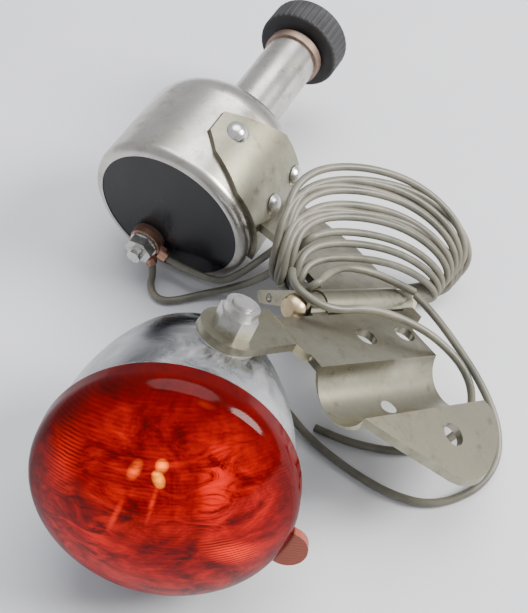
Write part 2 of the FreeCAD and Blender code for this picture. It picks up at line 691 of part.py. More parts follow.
def spindle():
    """Shaft through both bearings, and the washer and nut that hold the roller."""
    node(cylinder(dim.shaft, dim.shaft_high - dim.shaft_low, at(0, 0, dim.shaft_low)), "rotor_shaft", DYNAMO)
    top = dim.roller_base + dim.roller_height
    washer = turned([(dim.shaft, top), (5.0, top), (5.0, top + 0.8), (dim.shaft, top + 0.8)])
    node(washer, "roller_washer", DYNAMO)
    flats = hexagon(7.0, 2.6, at(0, 0, top + 0.8))
    node(cut(flats, cylinder(dim.shaft, 8.0, at(0, 0, top - 1))), "roller_nut", DYNAMO)


def bearings():
    gap = dim.shaft + dim.shaft_gap
    for label, low, high, outer in (
            ("upper_bearing", dim.neck_top - 11.0, dim.neck_top - 1.0, dim.neck_bore),
            ("middle_bearing", dim.can_side + dim.can_shoulder + 1.0,
             dim.can_side + dim.can_shoulder + 9.0, dim.neck_bore),
            ("lower_bearing", dim.shaft_low - 0.5, dim.shaft_low + 3.5, 4.5)):
        node(turned([(gap, low), (outer, low), (outer, high), (gap, high)]), label, DYNAMO)


def magnet_rotor():
    node(turned([(dim.shaft, dim.magnet_low), (dim.magnet, dim.magnet_low), (dim.magnet, dim.magnet_high),
                 (dim.shaft, dim.magnet_high)]), "magnet_rotor", DYNAMO)


def claw_pole(label, plate_low, claw_low, claw_high, turn):
    """Disc with four claws that reach along the magnet."""
    inner = dim.magnet + dim.pole_gap
    thick = dim.pole_thick
    disc = turned([(inner, plate_low), (dim.bobbin_rim + 1.0, plate_low),
                   (dim.bobbin_rim + 1.0, plate_low + thick), (inner, plate_low + thick)])
    outer = inner + thick
    claw = turned([(inner, claw_low), (outer, claw_low), (outer, claw_high), (inner, claw_high)])
    wedge_half = 16
    reach = 30.0
    corner_x = reach * math.cos(math.radians(wedge_half))
    corner_y = reach * math.sin(math.radians(wedge_half))
    wedge = padded("XY_Plane", [(0, 0), (corner_x, -corner_y), (corner_x, corner_y)], 60.0)
    wedge.Placement = Placement(Vector(), Rotation(Vector(0, 0, 1), turn))
    doc.recompute()
    wedges = doc.addObject("Part::Compound", "wedges")
    wedges.Links = ring_of(wedge, 4)
    node(fuse(disc, common(claw, wedges)), label, DYNAMO)


def stator():
    claw_pole("claw_pole_low", dim.pole_low, dim.pole_low, dim.pole_high - 3.0, 0)
    claw_pole("claw_pole_high", dim.pole_high, dim.pole_low + 3.0, dim.pole_high + 0.5, 45)
    hub, rim = dim.bobbin_hub, dim.bobbin_rim
    low, high = dim.bobbin_low, dim.bobbin_high
    bobbin = turned([(hub, low), (rim, low), (rim, low + 1.0), (hub + 1.0, low + 1.0),
                     (hub + 1.0, high - 1.0), (rim, high - 1.0), (rim, high), (hub, high)])
    node(bobbin, "coil_bobbin", DYNAMO)
    winding = turned([(hub + 1.0, low + 1.0), (rim - 0.8, low + 1.0), (rim - 0.8, high - 1.0),
                      (hub + 1.0, high - 1.0)])
    node(winding, "copper_winding", DYNAMO)


def terminal():
    """Screw terminal on the cover: bush, post, eyelet lug with its tail, and nut."""
    x, y = dim.terminal_x, dim.terminal_y
    face = number(dim.rim_lift) + 0.2
    out = -number(dim.terminal_out)
    bush = cut(fuse(cylinder(dim.terminal_stud + 0.85, 5.0, at(x, y, face - 0.1)),
                    cylinder(4.6, 1.2, at(x, y, face - 1.2))),
               cylinder(dim.terminal_stud, 12.0, at(x, y, -5)))
    node(bush, "terminal_bush", DYNAMO)
    post = cylinder(dim.terminal_stud, 14.2, at(x, y, out))
    head = cylinder(3.2, 1.2, at(x, y, face + 4.9))
    node(fuse(post, head), "terminal_post", DYNAMO)
    lug_face = face - 1.2 - number(dim.lug_thick)
    lower_face = lug_face - number(dim.lug_thick)
    node(group(ring_lug(x, y, lug_face, -62), ring_lug(x, y, lower_face, -14)), "terminal_lugs", DYNAMO)
    washer_low = lower_face - 0.8
    washer = cut(cylinder(4.0, 0.8, at(x, y, washer_low)),
                 cylinder(dim.terminal_stud, 4.0, at(x, y, washer_low - 1)))
    node(washer, "terminal_washer", DYNAMO)
    nut = hexagon(dim.terminal_nut, 2.8, at(x, y, washer_low - 2.8))
    node(cut(nut, cylinder(dim.terminal_stud, 6.0, at(x, y, washer_low - 4))), "terminal_nut", DYNAMO)


def ring_lug(x, y, face, turn):
    """Ring lug whose crimped barrel points out at the given turn from straight down."""
    reach = dim.lug_eye + 0.4
    place = Placement(Vector(number(x), number(y), face), Rotation(Vector(0, 0, 1), turn))
    eye = cylinder(dim.lug_eye, dim.lug_thick)
    neck = box(dim.lug_wide, 4.0, dim.lug_thick, at(-number(dim.lug_wide) / 2, 2.0, 0))
    barrel = cylinder(dim.lug_barrel, 2.4, at(0, reach, -0.4, (1, 0, 0), -90))
    lug = cut(fuse(eye, neck, barrel), cylinder(dim.terminal_stud, 4.0, at(0, 0, -1)))
    lug.Placement = place
    return lug


# ---------------------------------------------------------------- carrier of the dynamo

def carrier():
    """Saddle round the can, riveted on, with a flat foot that ends in the hinge eyes."""
    inner, outer = dim.can, dim.can + dim.saddle_thick
    shell = turned([(inner, 3.0), (outer, 3.0), (outer, 29.2), (inner, 29.2)])
    outline = padded("XY_Plane",
                     [(-11.3, 13.0), (-11.3, 20.4), (-1.3, 25.6), (4.7, 29.0), (26.0, 29.0), (26.0, 4.5),
                      (3.6, 3.9), (-7.3, 8.4)], 40.0)
    outline.Placement = frame(Vector(0, 0, 0), Vector(1, 1, 0), Vector(1, -1, 0))
    sector = padded("XY_Plane", [(0, 0), (8.0, -40.0), (46.0, -40.0), (46.0, 20.0)], 60.0)
    saddle = common(common(shell, outline), sector)
    saddle.Placement = DYNAMO
    thick = dim.sheet_steel
    foot_low = dim.pin_y + dim.knuckle + 0.6
    foot = padded("XY_Plane",
                  [(dim.foot_left, dim.pin_y + 1.0), (dim.foot_right, dim.pin_y + 1.0),
                   (dim.foot_right, foot_low + 0.2), (dim.foot_wide, foot_low + 0.2),
                   (dim.foot_wide, 32.0), (60.0, 54.0), (37.0, 47.0), (40.0, 36.0), (40.0, foot_low + 1.5),
                   (dim.foot_left, foot_low)],
                  thick, at(0, 0, number(-dim.joggle - thick)))
    roll_long = dim.foot_right - dim.foot_left
    roll = cylinder(dim.roll, roll_long, at(dim.foot_left, dim.pin_y, dim.pin_z, (0, 1, 0), 90))
    bore = cylinder(dim.pin + dim.pin_gap, 60.0, at(20, dim.pin_y, dim.pin_z, (0, 1, 0), 90))
    chamber = cylinder(dim.chamber, roll_long - dim.foot_knuckle * 2,
                       at(dim.foot_left + dim.foot_knuckle, dim.pin_y, dim.pin_z, (0, 1, 0), 90))
    plate = cut(fuse(foot, roll), bore, chamber)
    plate.Placement = BRACKET
    core = cylinder(dim.can, 60.0, at(0, 0, -10))
    core.Placement = DYNAMO.multiply(core.Placement)
    node(cut(fuse(saddle, plate), core), "dynamo_carrier")


def rivets():
    """Domed rivets through saddle and can."""
    heads = []
    for turn, height in ((31, 17.4), (83, 26.0), (82, 13.8)):
        angle = math.radians(turn)
        outward = Vector(math.sin(angle), -math.cos(angle), 0)
        surface = number(dim.can + dim.saddle_thick)
        middle = outward * (surface - 1.6) + Vector(0, 0, height)
        ball = sphere(dim.rivet + 0.4, Placement(middle, Rotation()))
        slab = cylinder(dim.rivet + 1.0, 4.0, Placement(
            outward * (surface + 0.05) + Vector(0, 0, height), Rotation(Vector(0, 0, 1), outward)))
        heads.append(common(ball, slab))
    node(group(*heads), "carrier_rivets", DYNAMO)


# ---------------------------------------------------------------- leads

HANK_FRONT = {"left": (36.5, 18, -5.5), "right": (83, 12.5, -4.6),
              "top": (54, 20.5, 2), "foot": (57, 19, -9.5)}
HANK_BACK = {"left": (33, 27, 2), "right": (87, 13.5, 7.5),
             "top": (57, 34.5, 19.5), "foot": (58, 24, -11)}


def hank_point(share, angle):
    """A point of one turn of the hank, in the bracket's frame; share runs from front to back."""
    side = {}
    for name in HANK_FRONT:
        side[name] = Vector(*HANK_FRONT[name]) * (1 - share) + Vector(*HANK_BACK[name]) * share
    centre = (side["left"] + side["right"]) / 2
    across = (side["right"] - side["left"]) / 2
    lift = (1 + math.sin(angle)) / 2
    blend = lift * lift * (3 - 2 * lift)
    upright = (centre - side["foot"]) * (1 - blend) + (side["top"] - centre) * blend
    return centre + across * math.cos(angle) + upright * math.sin(angle)


def lead_hank():
    """Outer shape of the turns wound round the dynamo's foot: a closed band."""
    stations = 20
    wall, margin = number(dim.hank_wall), number(dim.hank_margin)
    sections = []
    for index in range(stations):
        angle = 2 * math.pi * index / stations
        front, back = hank_point(0, angle), hank_point(1, angle)
        along = hank_point(0.5, angle + 0.05) - hank_point(0.5, angle - 0.05)
        wide = (back - front).normalize()
        out = wide.cross(along).normalize()
        front, back = front - wide * margin, back + wide * margin
        step = out * wall / 2
        corners = [front - step, back - step, back + step, front + step]
        corners = [BRACKET.multVec(corner) for corner in corners]
        sections.append(Part.makePolygon(corners + corners[:1]))
    obj = doc.addObject("Part::Feature", "lead_hank")
    obj.Shape = Part.makeLoft(sections, True, False, True)
    return node(obj, "lead_hank")


def tube_along(points, label):
    """A tube of straight runs joined by tangent arcs, one arc at each inner point."""
    spots = [Vector(*point) for point in points]
    radius = number(dim.lead)
    runs = [(b - a).Length for a, b in zip(spots, spots[1:])]
    edges, radii, start = [], [], spots[0]
    for index in range(1, len(spots) - 1):
        before = (spots[index - 1] - spots[index]).normalize()
        after = (spots[index + 1] - spots[index]).normalize()
        half = (math.pi - before.getAngle(after)) / 2
        reach = 0.45 * min(runs[index - 1], runs[index])
        bend = reach / math.tan(half)
        first, last = spots[index] + before * reach, spots[index] + after * reach
        middle_way = (before + after).normalize()
        middle = spots[index] + middle_way * (bend / math.cos(half) - bend)
        edges.append(Part.LineSegment(start, first).toShape())
        edges.append(Part.Arc(first, middle, last).toShape())
        radii.append(bend)
        start = last
    edges.append(Part.LineSegment(start, spots[-1]).toShape())
    path = Part.Wire(edges)
    section = Part.Wire(Part.makeCircle(radius, spots[0], (spots[1] - spots[0])))
    solid = path.makePipeShell([section], True, True)
    obj = doc.addObject("Part::Feature", label)
    obj.Shape = solid
    expected = math.pi * radius ** 2 * path.Length
    print("%-22s length %.1f  volume ratio %.3f  radii %s" % (
        label, path.Length, solid.Volume / expected, " ".join("%.0f" % value for value in radii)))
    return node(obj, label)


TAIL_LEAD_TO_HANK = [
    (-34.3, 11.0, 4.3), (-34.2, 9.2, 2.2), (-34.8, 6.0, 1.6), (-33.6, 2.2, 1.4), (-30.4, 0.2, 1.4),
    (-25.8, 1.0, 1.4), (-20.4, 2.4, 1.8), (-14.8, 2.6, 3.2), (-10.0, 1.4, 6.4), (-5.8, -0.4, 10.6),
    (-2.2, -2.4, 15.6), (0.4, -4.4, 21.0)]

HEADLAMP_LEAD_TO_HANK = [
    (-29.7, 9.4, 8.4), (-26.8, 7.4, 8.2), (-23.2, 5.1, 8.3), (-19.2, 3.2, 7.8), (-14.8, 1.8, 7.6),
    (-10.2, 2.2, 10.0), (-6.0, 2.2, 14.2), (-3.2, 0.8, 18.8), (-1.2, -1.6, 23.6), (0.1, -4.8, 28.2)]

TAIL_LEAD_TO_LAMP = [
    (34.9, -11.2, 17.0), (37.9, -15.6, 16.8), (41.4, -21.2, 15.8), (45.2, -27.2, 13.6), (48.4, -32.2, 11.2),
    (51.2, -38.0, 8.6), (52.9, -44.2, 5.8), (52.2, -50.9, 3.2), (47.9, -56.8, 1.6), (41.1, -60.6, 1.3),
    (34.0, -61.8, 1.3), (26.6, -59.3, 1.3), (20.2, -55.2, 1.3), (14.0, -50.1, 1.3), (7.4, -43.8, 1.8),
    (1.6, -36.4, 3.6), (-2.8, -28.8, 5.6), (-7.6, -22.4, 7.2), (-13.2, -18.6, 9.0), (-17.4, -20.2, 11.0)]

HEADLAMP_LEAD_END = [
    (3.2, -17.0, 32.9), (2.8, -21.8, 35.2), (5.2, -26.6, 35.9), (10.0, -28.6, 33.6),
    (14.8, -27.8, 31.2), (20.8, -24.8, 28.4), (28.4, -24.6, 25.0), (36.0, -26.2, 21.0), (41.3, -28.6, 17.0),
    (44.8, -31.2, 13.6), (47.0, -34.6, 10.0), (47.0, -38.8, 6.6), (44.2, -43.0, 3.8), (39.2, -46.0, 2.0),
    (33.0, -47.4, 1.4), (26.6, -47.2, 1.4), (20.4, -45.8, 1.4), (14.4, -43.6, 1.4), (9.0, -40.6, 1.4)]


def leads():
    lead_hank()
    tube_along(TAIL_LEAD_TO_HANK, "tail_lead_start")
    tube_along(HEADLAMP_LEAD_TO_HANK, "headlamp_lead_start")
    tube_along(TAIL_LEAD_TO_LAMP, "tail_lead_end")
    tube_along(HEADLAMP_LEAD_END, "headlamp_lead_end")


lamp_shell()
lens()
reflector()
cap_start = bulb()
socket_end = bulb_holder(cap_start)
lamp_terminal(socket_end)
lamp_stud()
lamp_nut()
bracket_plate()
hinge_pin()
hinge_spring()
release_lever()
dynamo_housing()
bottom_cover()
neck_collar()
friction_roller()
spindle()
bearings()
magnet_rotor()
stator()
terminal()
carrier()
rivets()
leads()

doc.recompute()

os.makedirs("parts", exist_ok=True)
for obj in doc.Objects:
    if "Invalid" in obj.State or "Error" in obj.State:
        raise SystemExit("feature %s (%s) is %s" % (obj.Name, obj.Label, obj.State))
for obj in NODES:
    shape = obj.Shape
    if shape.isNull() or not shape.isValid() or shape.Volume <= 0:
        raise SystemExit("node %s has no valid solid" % obj.Label)
    shape.exportStep("parts/%s.step" % obj.Label)
    low, high = shape.BoundBox, shape.Volume
    print("%-22s %8.1f mm3  x %6.1f..%6.1f  y %6.1f..%6.1f  z %6.1f..%6.1f  solids %d" % (
        obj.Label, shape.Volume, low.XMin, low.XMax, low.YMin, low.YMax, low.ZMin, low.ZMax, len(shape.Solids)))
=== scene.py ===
import json
import math

import bpy
from mathutils import Matrix, Vector


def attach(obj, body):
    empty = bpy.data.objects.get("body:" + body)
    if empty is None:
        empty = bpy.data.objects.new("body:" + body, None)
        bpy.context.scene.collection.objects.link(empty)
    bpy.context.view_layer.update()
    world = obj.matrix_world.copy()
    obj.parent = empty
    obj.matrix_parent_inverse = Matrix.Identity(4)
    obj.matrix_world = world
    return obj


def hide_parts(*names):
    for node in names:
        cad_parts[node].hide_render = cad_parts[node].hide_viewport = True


# Bicycle bottle dynamo and red tail lamp on a stamped bracket, its thin lead wound round the
# dynamo's foot. Metres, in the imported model's frame: +Z up, the table at z = 0.

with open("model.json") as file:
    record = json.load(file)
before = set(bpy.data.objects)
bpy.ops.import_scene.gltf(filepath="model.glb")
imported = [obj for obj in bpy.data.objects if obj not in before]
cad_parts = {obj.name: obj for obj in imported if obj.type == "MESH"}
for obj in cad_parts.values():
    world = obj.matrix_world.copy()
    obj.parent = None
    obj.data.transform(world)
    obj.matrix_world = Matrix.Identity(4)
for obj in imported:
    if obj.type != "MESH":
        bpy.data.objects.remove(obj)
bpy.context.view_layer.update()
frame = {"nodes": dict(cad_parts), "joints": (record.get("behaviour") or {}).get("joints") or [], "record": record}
nodes = frame["nodes"]
joints = {joint["name"]: joint for joint in frame["joints"]}
MM = 0.001


# ---------------------------------------------------------------- group frames

def axes(origin, x, z):
    """A matrix with the given origin and x and z directions."""
    x, z = Vector(x).normalized(), Vector(z).normalized()
    y = z.cross(x)
    matrix = Matrix((x, y, z)).transposed().to_4x4()
    matrix.translation = Vector(origin)
    return matrix


STUD = joints["lamp_swivel"]
TILT = joints["dynamo_tilt"]
BRACKET = axes(STUD["pos_m"], TILT["axis"], STUD["axis"])

# The lens: the middle of its rim, with x to the right, y down its face and z into the lamp.
LENS_MIDDLE = (-0.0238, -0.0741, 0.03105)
LENS_RIGHT = (0.9938, -0.1115, 0)
LENS_BACK = (0.1047, 0.9338, -0.342)
LENS = axes(LENS_MIDDLE, LENS_RIGHT, LENS_BACK)


def in_bracket(point):
    """A place given in millimetres in the bracket's frame."""
    return BRACKET @ (Vector(point) * MM)


# ---------------------------------------------------------------- materials

# Distances from the lens's axis: the rim darkens over RIM, the painted glow of a lit dish fades out
# over the second range, and the screw lug starts at LUG.
RIM = (0.0215, 0.0275)
PAINTED_GLOW_EDGE = (0.021, 0.027)
LUG = (0.0285, 0.0292)

# Painted glints in the emission, standing for bright places of a lit dish behind the lens: (x, y, turn), size,
# stretch, tint.
LENS_PAINTED_GLINTS = [
    ((-0.0066, -0.0042, 22), 0.0050, (0.16, 1.0, 1), (1.2, 0.035, 0.002)),
    ((0.0006, -0.0080, 14), 0.0052, (0.12, 1.0, 1), (1.1, 0.030, 0.002)),
    ((0.0088, -0.0245, -70), 0.0026, (0.24, 1.0, 1), (1.8, 0.100, 0.005)),
    ((-0.0030, -0.0140, 30), 0.0019, (0.7, 1.3, 1), (2.6, 0.28, 0.004)),
    ((0.0021, -0.0152, 0), 0.0014, (1.0, 1.0, 1), (4.5, 0.85, 0.02)),
    ((0.0016, -0.0128, -30), 0.0016, (0.8, 1.2, 1), (7.0, 2.10, 0.08)),
]
# Broad painted glows in the emission, broken up by the swirls.
LENS_PAINTED_GLOWS = [
    ((0.0125, -0.0085, 6), 0.0105, (0.42, 1.0, 1), (1.5, 0.016, 0.0)),
    ((0.0120, -0.0140, 6), 0.0050, (0.7, 1.0, 1), (2.0, 0.024, 0.0)),
    ((0.0150, -0.0200, -40), 0.0070, (0.35, 1.0, 1), (1.1, 0.012, 0.0)),
    ((-0.0100, 0.0020, 20), 0.0090, (0.4, 1.0, 1), (0.9, 0.008, 0.0)),
]
# Painted highlights in the emission, in zones where the flutes catch the light.
LENS_FLUTE_HIGHLIGHTS = [
    ((-0.0180, -0.0130, 12), 0.0100, (0.45, 1.1, 1), (1.1, 0.020, 0.0)),
    ((0.0155, 0.0050, -50), 0.0075, (0.50, 1.1, 1), (1.9, 0.060, 0.002)),
    ((-0.0050, 0.0150, 80), 0.0130, (0.35, 1.1, 1), (0.40, 0.004, 0.0)),
]


# The colour sockets of a mix node, by place, as their names are shared with its other types.
MIX_FIRST = 6
MIX_SECOND = 7
MIX_RESULT = 2


class Shader:
    """A node material with a Principled surface, built by short calls."""

    def __init__(self, name):
        self.material = bpy.data.materials.new(name)
        self.material.use_nodes = True
        self.tree = self.material.node_tree
        self.surface = self.tree.nodes["Principled BSDF"]

    def feed(self, socket, value):
        """Give a socket a link or a plain value."""
        if isinstance(value, bpy.types.NodeSocket):
            self.tree.links.new(value, socket)
        else:
            socket.default_value = value

    def add(self, kind, **inputs):
        """A new node with some of its inputs set."""
        node = self.tree.nodes.new(kind)
        for key, value in inputs.items():
            self.feed(node.inputs[key.replace("_", " ")], value)
        return node

    def set(self, **inputs):
        """Set inputs of the Principled surface."""
        for key, value in inputs.items():
            self.feed(self.surface.inputs[key.replace("_", " ")], value)

    def place(self, stretch=(1, 1, 1)):
        """Object coordinates, stretched to lay a texture out along one direction."""
        coordinates = self.add("ShaderNodeTexCoord")
        return self.stretch(coordinates.outputs["Object"], stretch)

    def local(self, matrix):
        """Coordinates in a frame of the object's own, in metres."""
        coordinates = self.add("ShaderNodeTexCoord")
        mapping = self.add("ShaderNodeMapping", Vector=coordinates.outputs["Object"])
        mapping.vector_type = "TEXTURE"
        mapping.inputs["Location"].default_value = matrix.translation
        mapping.inputs["Rotation"].default_value = matrix.to_euler()
        return mapping.outputs["Vector"]

    def stretch(self, vector, scale):
        """A vector scaled along its axes."""
        mapping = self.add("ShaderNodeMapping", Vector=vector)
        mapping.inputs["Scale"].default_value = scale
        return mapping.outputs["Vector"]

    def length_of(self, x, y):
        """Distance of a flat place from its origin."""
        joined = self.add("ShaderNodeCombineXYZ", X=x, Y=y)
        measure = self.add("ShaderNodeVectorMath")
        measure.operation = "LENGTH"
        self.tree.links.new(joined.outputs["Vector"], measure.inputs[0])
        return measure.outputs["Value"]

    def times(self, first, second):
        """Product of two shares."""
        node = self.add("ShaderNodeMath")
        node.operation = "MULTIPLY"
        self.feed(node.inputs[0], first)
        self.feed(node.inputs[1], second)
        return node.outputs[0]

    def blend(self, share, low, high):
        """Mix two colours by a share."""
        node = self.add("ShaderNodeMix")
        node.data_type = "RGBA"
        self.feed(node.inputs["Factor"], share)
        self.feed(node.inputs[MIX_FIRST], low)
        self.feed(node.inputs[MIX_SECOND], high)
        return node.outputs[MIX_RESULT]

    def noise(self, scale, detail, roughness, where=None, distortion=0.0):
        """Cloudy noise, on the object's coordinates unless others are given."""
        node = self.add("ShaderNodeTexNoise", Scale=scale, Detail=detail, Roughness=roughness,
                        Distortion=distortion)
        self.tree.links.new(where or self.place(), node.inputs["Vector"])
        return node.outputs["Fac"]

    def spread(self, value, low, high, to_low, to_high):
        """Map the range low to high onto another one, held at its ends."""
        node = self.add("ShaderNodeMapRange", Value=value, From_Min=low, From_Max=high,
                        To_Min=to_low, To_Max=to_high)
        return node.outputs["Result"]

    def ramp(self, value, *stops):
        """A colour for a value, from stops of a position and a colour."""
        node = self.add("ShaderNodeValToRGB", Fac=value)
        band = node.color_ramp
        while len(band.elements) < len(stops):
            band.elements.new(0.5)
        for element, (position, color) in zip(band.elements, stops):
            element.position = position
            element.color = (*color, 1)
        return node.outputs["Color"]

    def bump(self, height, strength, distance, under=None):
        """A bumped normal, over another one if given."""
        node = self.add("ShaderNodeBump", Height=height, Strength=strength, Distance=distance)
        if under is not None:
            self.tree.links.new(under, node.inputs["Normal"])
        return node.outputs["Normal"]


def worn_metal(name, bright, dull, grime, rough, scratch=(1, 1, 1), pits=0.25):
    """Plated steel: cloudy patches, grime in spots, fine scratches along one direction."""
    shader = Shader(name)
    clouds = shader.noise(55, 8, 0.65)
    spots = shader.noise(240, 5, 0.7)
    scratches = shader.noise(900, 3, 0.6, shader.place(scratch))
    tone = shader.ramp(clouds, (0.36, dull), (0.62, bright))
    stain = shader.spread(spots, 0.55, 0.72, 0.0, 0.6)
    mixed = shader.blend(stain, tone, (*grime, 1))
    roughness = shader.spread(clouds, 0.3, 0.7, rough[1], rough[0])
    coarse = shader.bump(spots, pits, 0.00008)
    fine = shader.bump(scratches, 0.22, 0.00004, coarse)
    shader.set(Base_Color=mixed, Metallic=1.0, Roughness=roughness, Normal=fine)
    return shader.material


def chrome():
    return worn_metal("worn_chrome", (0.60, 0.58, 0.54), (0.38, 0.36, 0.32), (0.24, 0.20, 0.15),
                      (0.20, 0.38), (1, 1, 9), pits=0.18)


def shell_chrome():
    """Cloudy plating of the lamp shell: pale blooms, a painted dark reflection near the stud, and pits."""
    shader = Shader("clouded_chrome")
    local = shader.local(LENS)
    clouds = shader.noise(70, 8, 0.7, local, 0.8)
    spots = shader.noise(420, 5, 0.7, local)
    tone = shader.ramp(clouds, (0.34, (0.22, 0.23, 0.23)), (0.48, (0.36, 0.37, 0.38)),
                       (0.66, (0.52, 0.52, 0.54)))
    # Painted dark reflection: a soft patch near the stud, blended to blue-black.
    painted_dark_reflection = shader.times(spot(shader, local, (-0.0045, -0.0235, -80), 0.0075, (0.50, 1.0, 1)),
                         shader.spread(clouds, 0.38, 0.52, 0.6, 1.0))
    tone = shader.blend(painted_dark_reflection, tone, (0.02, 0.024, 0.034, 1))
    tone = shader.blend(shader.spread(spots, 0.62, 0.72, 0.0, 0.8), tone, (0.24, 0.21, 0.17, 1))
    metal = shader.spread(clouds, 0.42, 0.60, 1.0, 0.8)
    rough = shader.spread(clouds, 0.35, 0.62, 0.14, 0.42)
    dents = shader.bump(shader.noise(60, 3, 0.5, local), 0.25, 0.0004)
    pits = shader.bump(spots, 0.25, 0.00008, dents)
    shader.set(Base_Color=tone, Metallic=metal, Roughness=rough, Normal=pits)
    return shader.material


def zinc_steel():
    return worn_metal("dull_zinc_steel", (0.34, 0.325, 0.25), (0.21, 0.198, 0.142), (0.12, 0.09, 0.055),
                      (0.24, 0.44), (9, 1, 1), pits=0.4)


def plated_steel():
    return worn_metal("plated_steel", (0.78, 0.78, 0.76), (0.52, 0.52, 0.49), (0.27, 0.24, 0.19),
                      (0.18, 0.36), (2, 2, 2), pits=0.3)


def spring_steel():
    return worn_metal("spring_steel", (0.40, 0.38, 0.35), (0.26, 0.24, 0.21), (0.16, 0.11, 0.07),
                      (0.3, 0.5))


def brass():
    return worn_metal("tarnished_brass", (0.68, 0.55, 0.34), (0.42, 0.31, 0.19), (0.20, 0.12, 0.08),
                      (0.25, 0.5))


def copper():
    return worn_metal("tarnished_copper", (0.56, 0.33, 0.24), (0.32, 0.18, 0.13), (0.14, 0.08, 0.06),
                      (0.35, 0.55))


def collar_metal():
    return worn_metal("stained_collar", (0.45, 0.33, 0.27), (0.27, 0.18, 0.14), (0.12, 0.08, 0.06),
                      (0.35, 0.55))


def moulded(name, base, dust, rough, dust_share=0.5, grain=0.15, **extra):
    """Moulded plastic or rubber with a fine grain and a film of dust."""
    shader = Shader(name)
    film = shader.noise(70, 7, 0.62)
    grit = shader.noise(1500, 3, 0.6)
    dusty = tuple(clean + (grey - clean) * dust_share for clean, grey in zip(base, dust))
    tone = shader.ramp(film, (0.38, base), (0.72, dusty))
    roughness = shader.spread(film, 0.3, 0.7, rough[0], rough[1])
    shader.set(Base_Color=tone, Roughness=roughness, Normal=shader.bump(grit, grain, 0.00003), **extra)
    return shader.material


def black_cover():
    return moulded("black_moulding", (0.003, 0.003, 0.004), (0.05, 0.05, 0.055), (0.16, 0.30), 0.35,
                   Specular_IOR_Level=0.3)


def rubber():
    return moulded("dusty_rubber", (0.008, 0.008, 0.009), (0.09, 0.09, 0.095), (0.55, 0.8), 0.5, 0.5)


def insulation():
    return moulded("brown_insulation", (0.07, 0.035, 0.02), (0.2, 0.14, 0.1), (0.4, 0.6), 0.5)


def lead_cover():
    return moulded("grey_lead", (0.085, 0.084, 0.063), (0.21, 0.190, 0.145), (0.30, 0.48), 0.9, 0.2)


def spot(shader, local, place, size, stretch=(1, 1, 1)):
    """A soft patch, strongest at a place (x, y, turn) in the lens's frame."""
    x, y, turn = place
    mapping = shader.add("ShaderNodeMapping", Vector=local)
    mapping.vector_type = "TEXTURE"
    mapping.inputs["Location"].default_value = (x, y, 0)
    mapping.inputs["Rotation"].default_value = (0, 0, math.radians(turn))
    mapping.inputs["Scale"].default_value = stretch
    parts = shader.add("ShaderNodeSeparateXYZ", Vector=mapping.outputs["Vector"])
    distance = shader.length_of(parts.outputs["X"], parts.outputs["Y"])
    return shader.spread(distance, size * 0.2, size, 1.0, 0.0)


def red_lens():
    """Deep red moulding: a glossy face over fine level flutes, with a painted glow of a lit dish, painted glints
    and painted flute highlights in its emission.
    """
    shader = Shader("red_lens")
    local = shader.local(LENS)
    axis_parts = shader.add("ShaderNodeSeparateXYZ", Vector=local)
    radius = shader.length_of(axis_parts.outputs["X"], axis_parts.outputs["Y"])
    clouds = shader.noise(85, 5, 0.62, local, 1.4)
    swirl = shader.noise(150, 5, 0.65, shader.stretch(local, (0.6, 1.5, 1)), 2.0)
    flutes = shader.add("ShaderNodeTexWave", Vector=local, Scale=430.0, Distortion=1.6, Detail=2.0)
    flutes.bands_direction = "Y"
    lines = flutes.outputs["Fac"]
    body = shader.ramp(clouds, (0.36, (0.04, 0.0, 0.0)), (0.50, (0.15, 0.0, 0.0)),
                       (0.66, (0.30, 0.002, 0.0)))
    rim = shader.spread(radius, *RIM, 0.0, 0.85)
    shade = shader.blend(rim, body, (0.06, 0.0, 0.0, 1))
    lug = shader.spread(radius, *LUG, 0.0, 1.0)
    shade = shader.blend(lug, shade, (0.28, 0.085, 0.060, 1))
    # Painted glow: an emission colour standing for light from the dish behind the lens.
    painted_glow_colour = shader.ramp(swirl, (0.40, (0.05, 0.0, 0.0)), (0.52, (0.26, 0.0, 0.0)),
                       (0.68, (0.62, 0.010, 0.0)))
    for place, size, stretch, tint in LENS_FLUTE_HIGHLIGHTS:
        share = shader.times(spot(shader, local, place, size, stretch), lines)
        painted_glow_colour = shader.blend(share, painted_glow_colour, (*tint, 1))
    # Masks that break up the painted glows and the painted glints.
    painted_glow_mask = shader.spread(swirl, 0.40, 0.58, 0.0, 1.0)
    for place, size, stretch, tint in LENS_PAINTED_GLOWS:
        share = shader.times(spot(shader, local, place, size, stretch), painted_glow_mask)
        painted_glow_colour = shader.blend(share, painted_glow_colour, (*tint, 1))
    painted_glint_mask = shader.spread(swirl, 0.38, 0.52, 0.35, 1.0)
    for place, size, stretch, tint in LENS_PAINTED_GLINTS:
        share = shader.times(spot(shader, local, place, size, stretch), painted_glint_mask)
        painted_glow_colour = shader.blend(share, painted_glow_colour, (*tint, 1))
    # Strength of the painted glow, fading out towards the rim.
    painted_glow_fade = shader.spread(radius, *PAINTED_GLOW_EDGE, 0.75, 0.0)
    ridge = shader.bump(lines, 0.35, 0.0002)
    face = shader.bump(shader.noise(500, 4, 0.6, local), 0.05, 0.00005)
    shader.set(Base_Color=shade, Roughness=0.35, Specular_IOR_Level=0.0, Normal=ridge)
    shader.set(Coat_Weight=0.5, Coat_Roughness=0.11, Coat_IOR=1.3, Coat_Normal=face)
    shader.set(Emission_Color=painted_glow_colour, Emission_Strength=painted_glow_fade)
    return shader.material


def mirror():
    shader = Shader("dish_mirror")
    haze = shader.noise(90, 5, 0.6)
    shader.set(Base_Color=(0.9, 0.88, 0.84, 1), Metallic=1.0,
               Roughness=shader.spread(haze, 0.3, 0.7, 0.08, 0.22))
    return shader.material


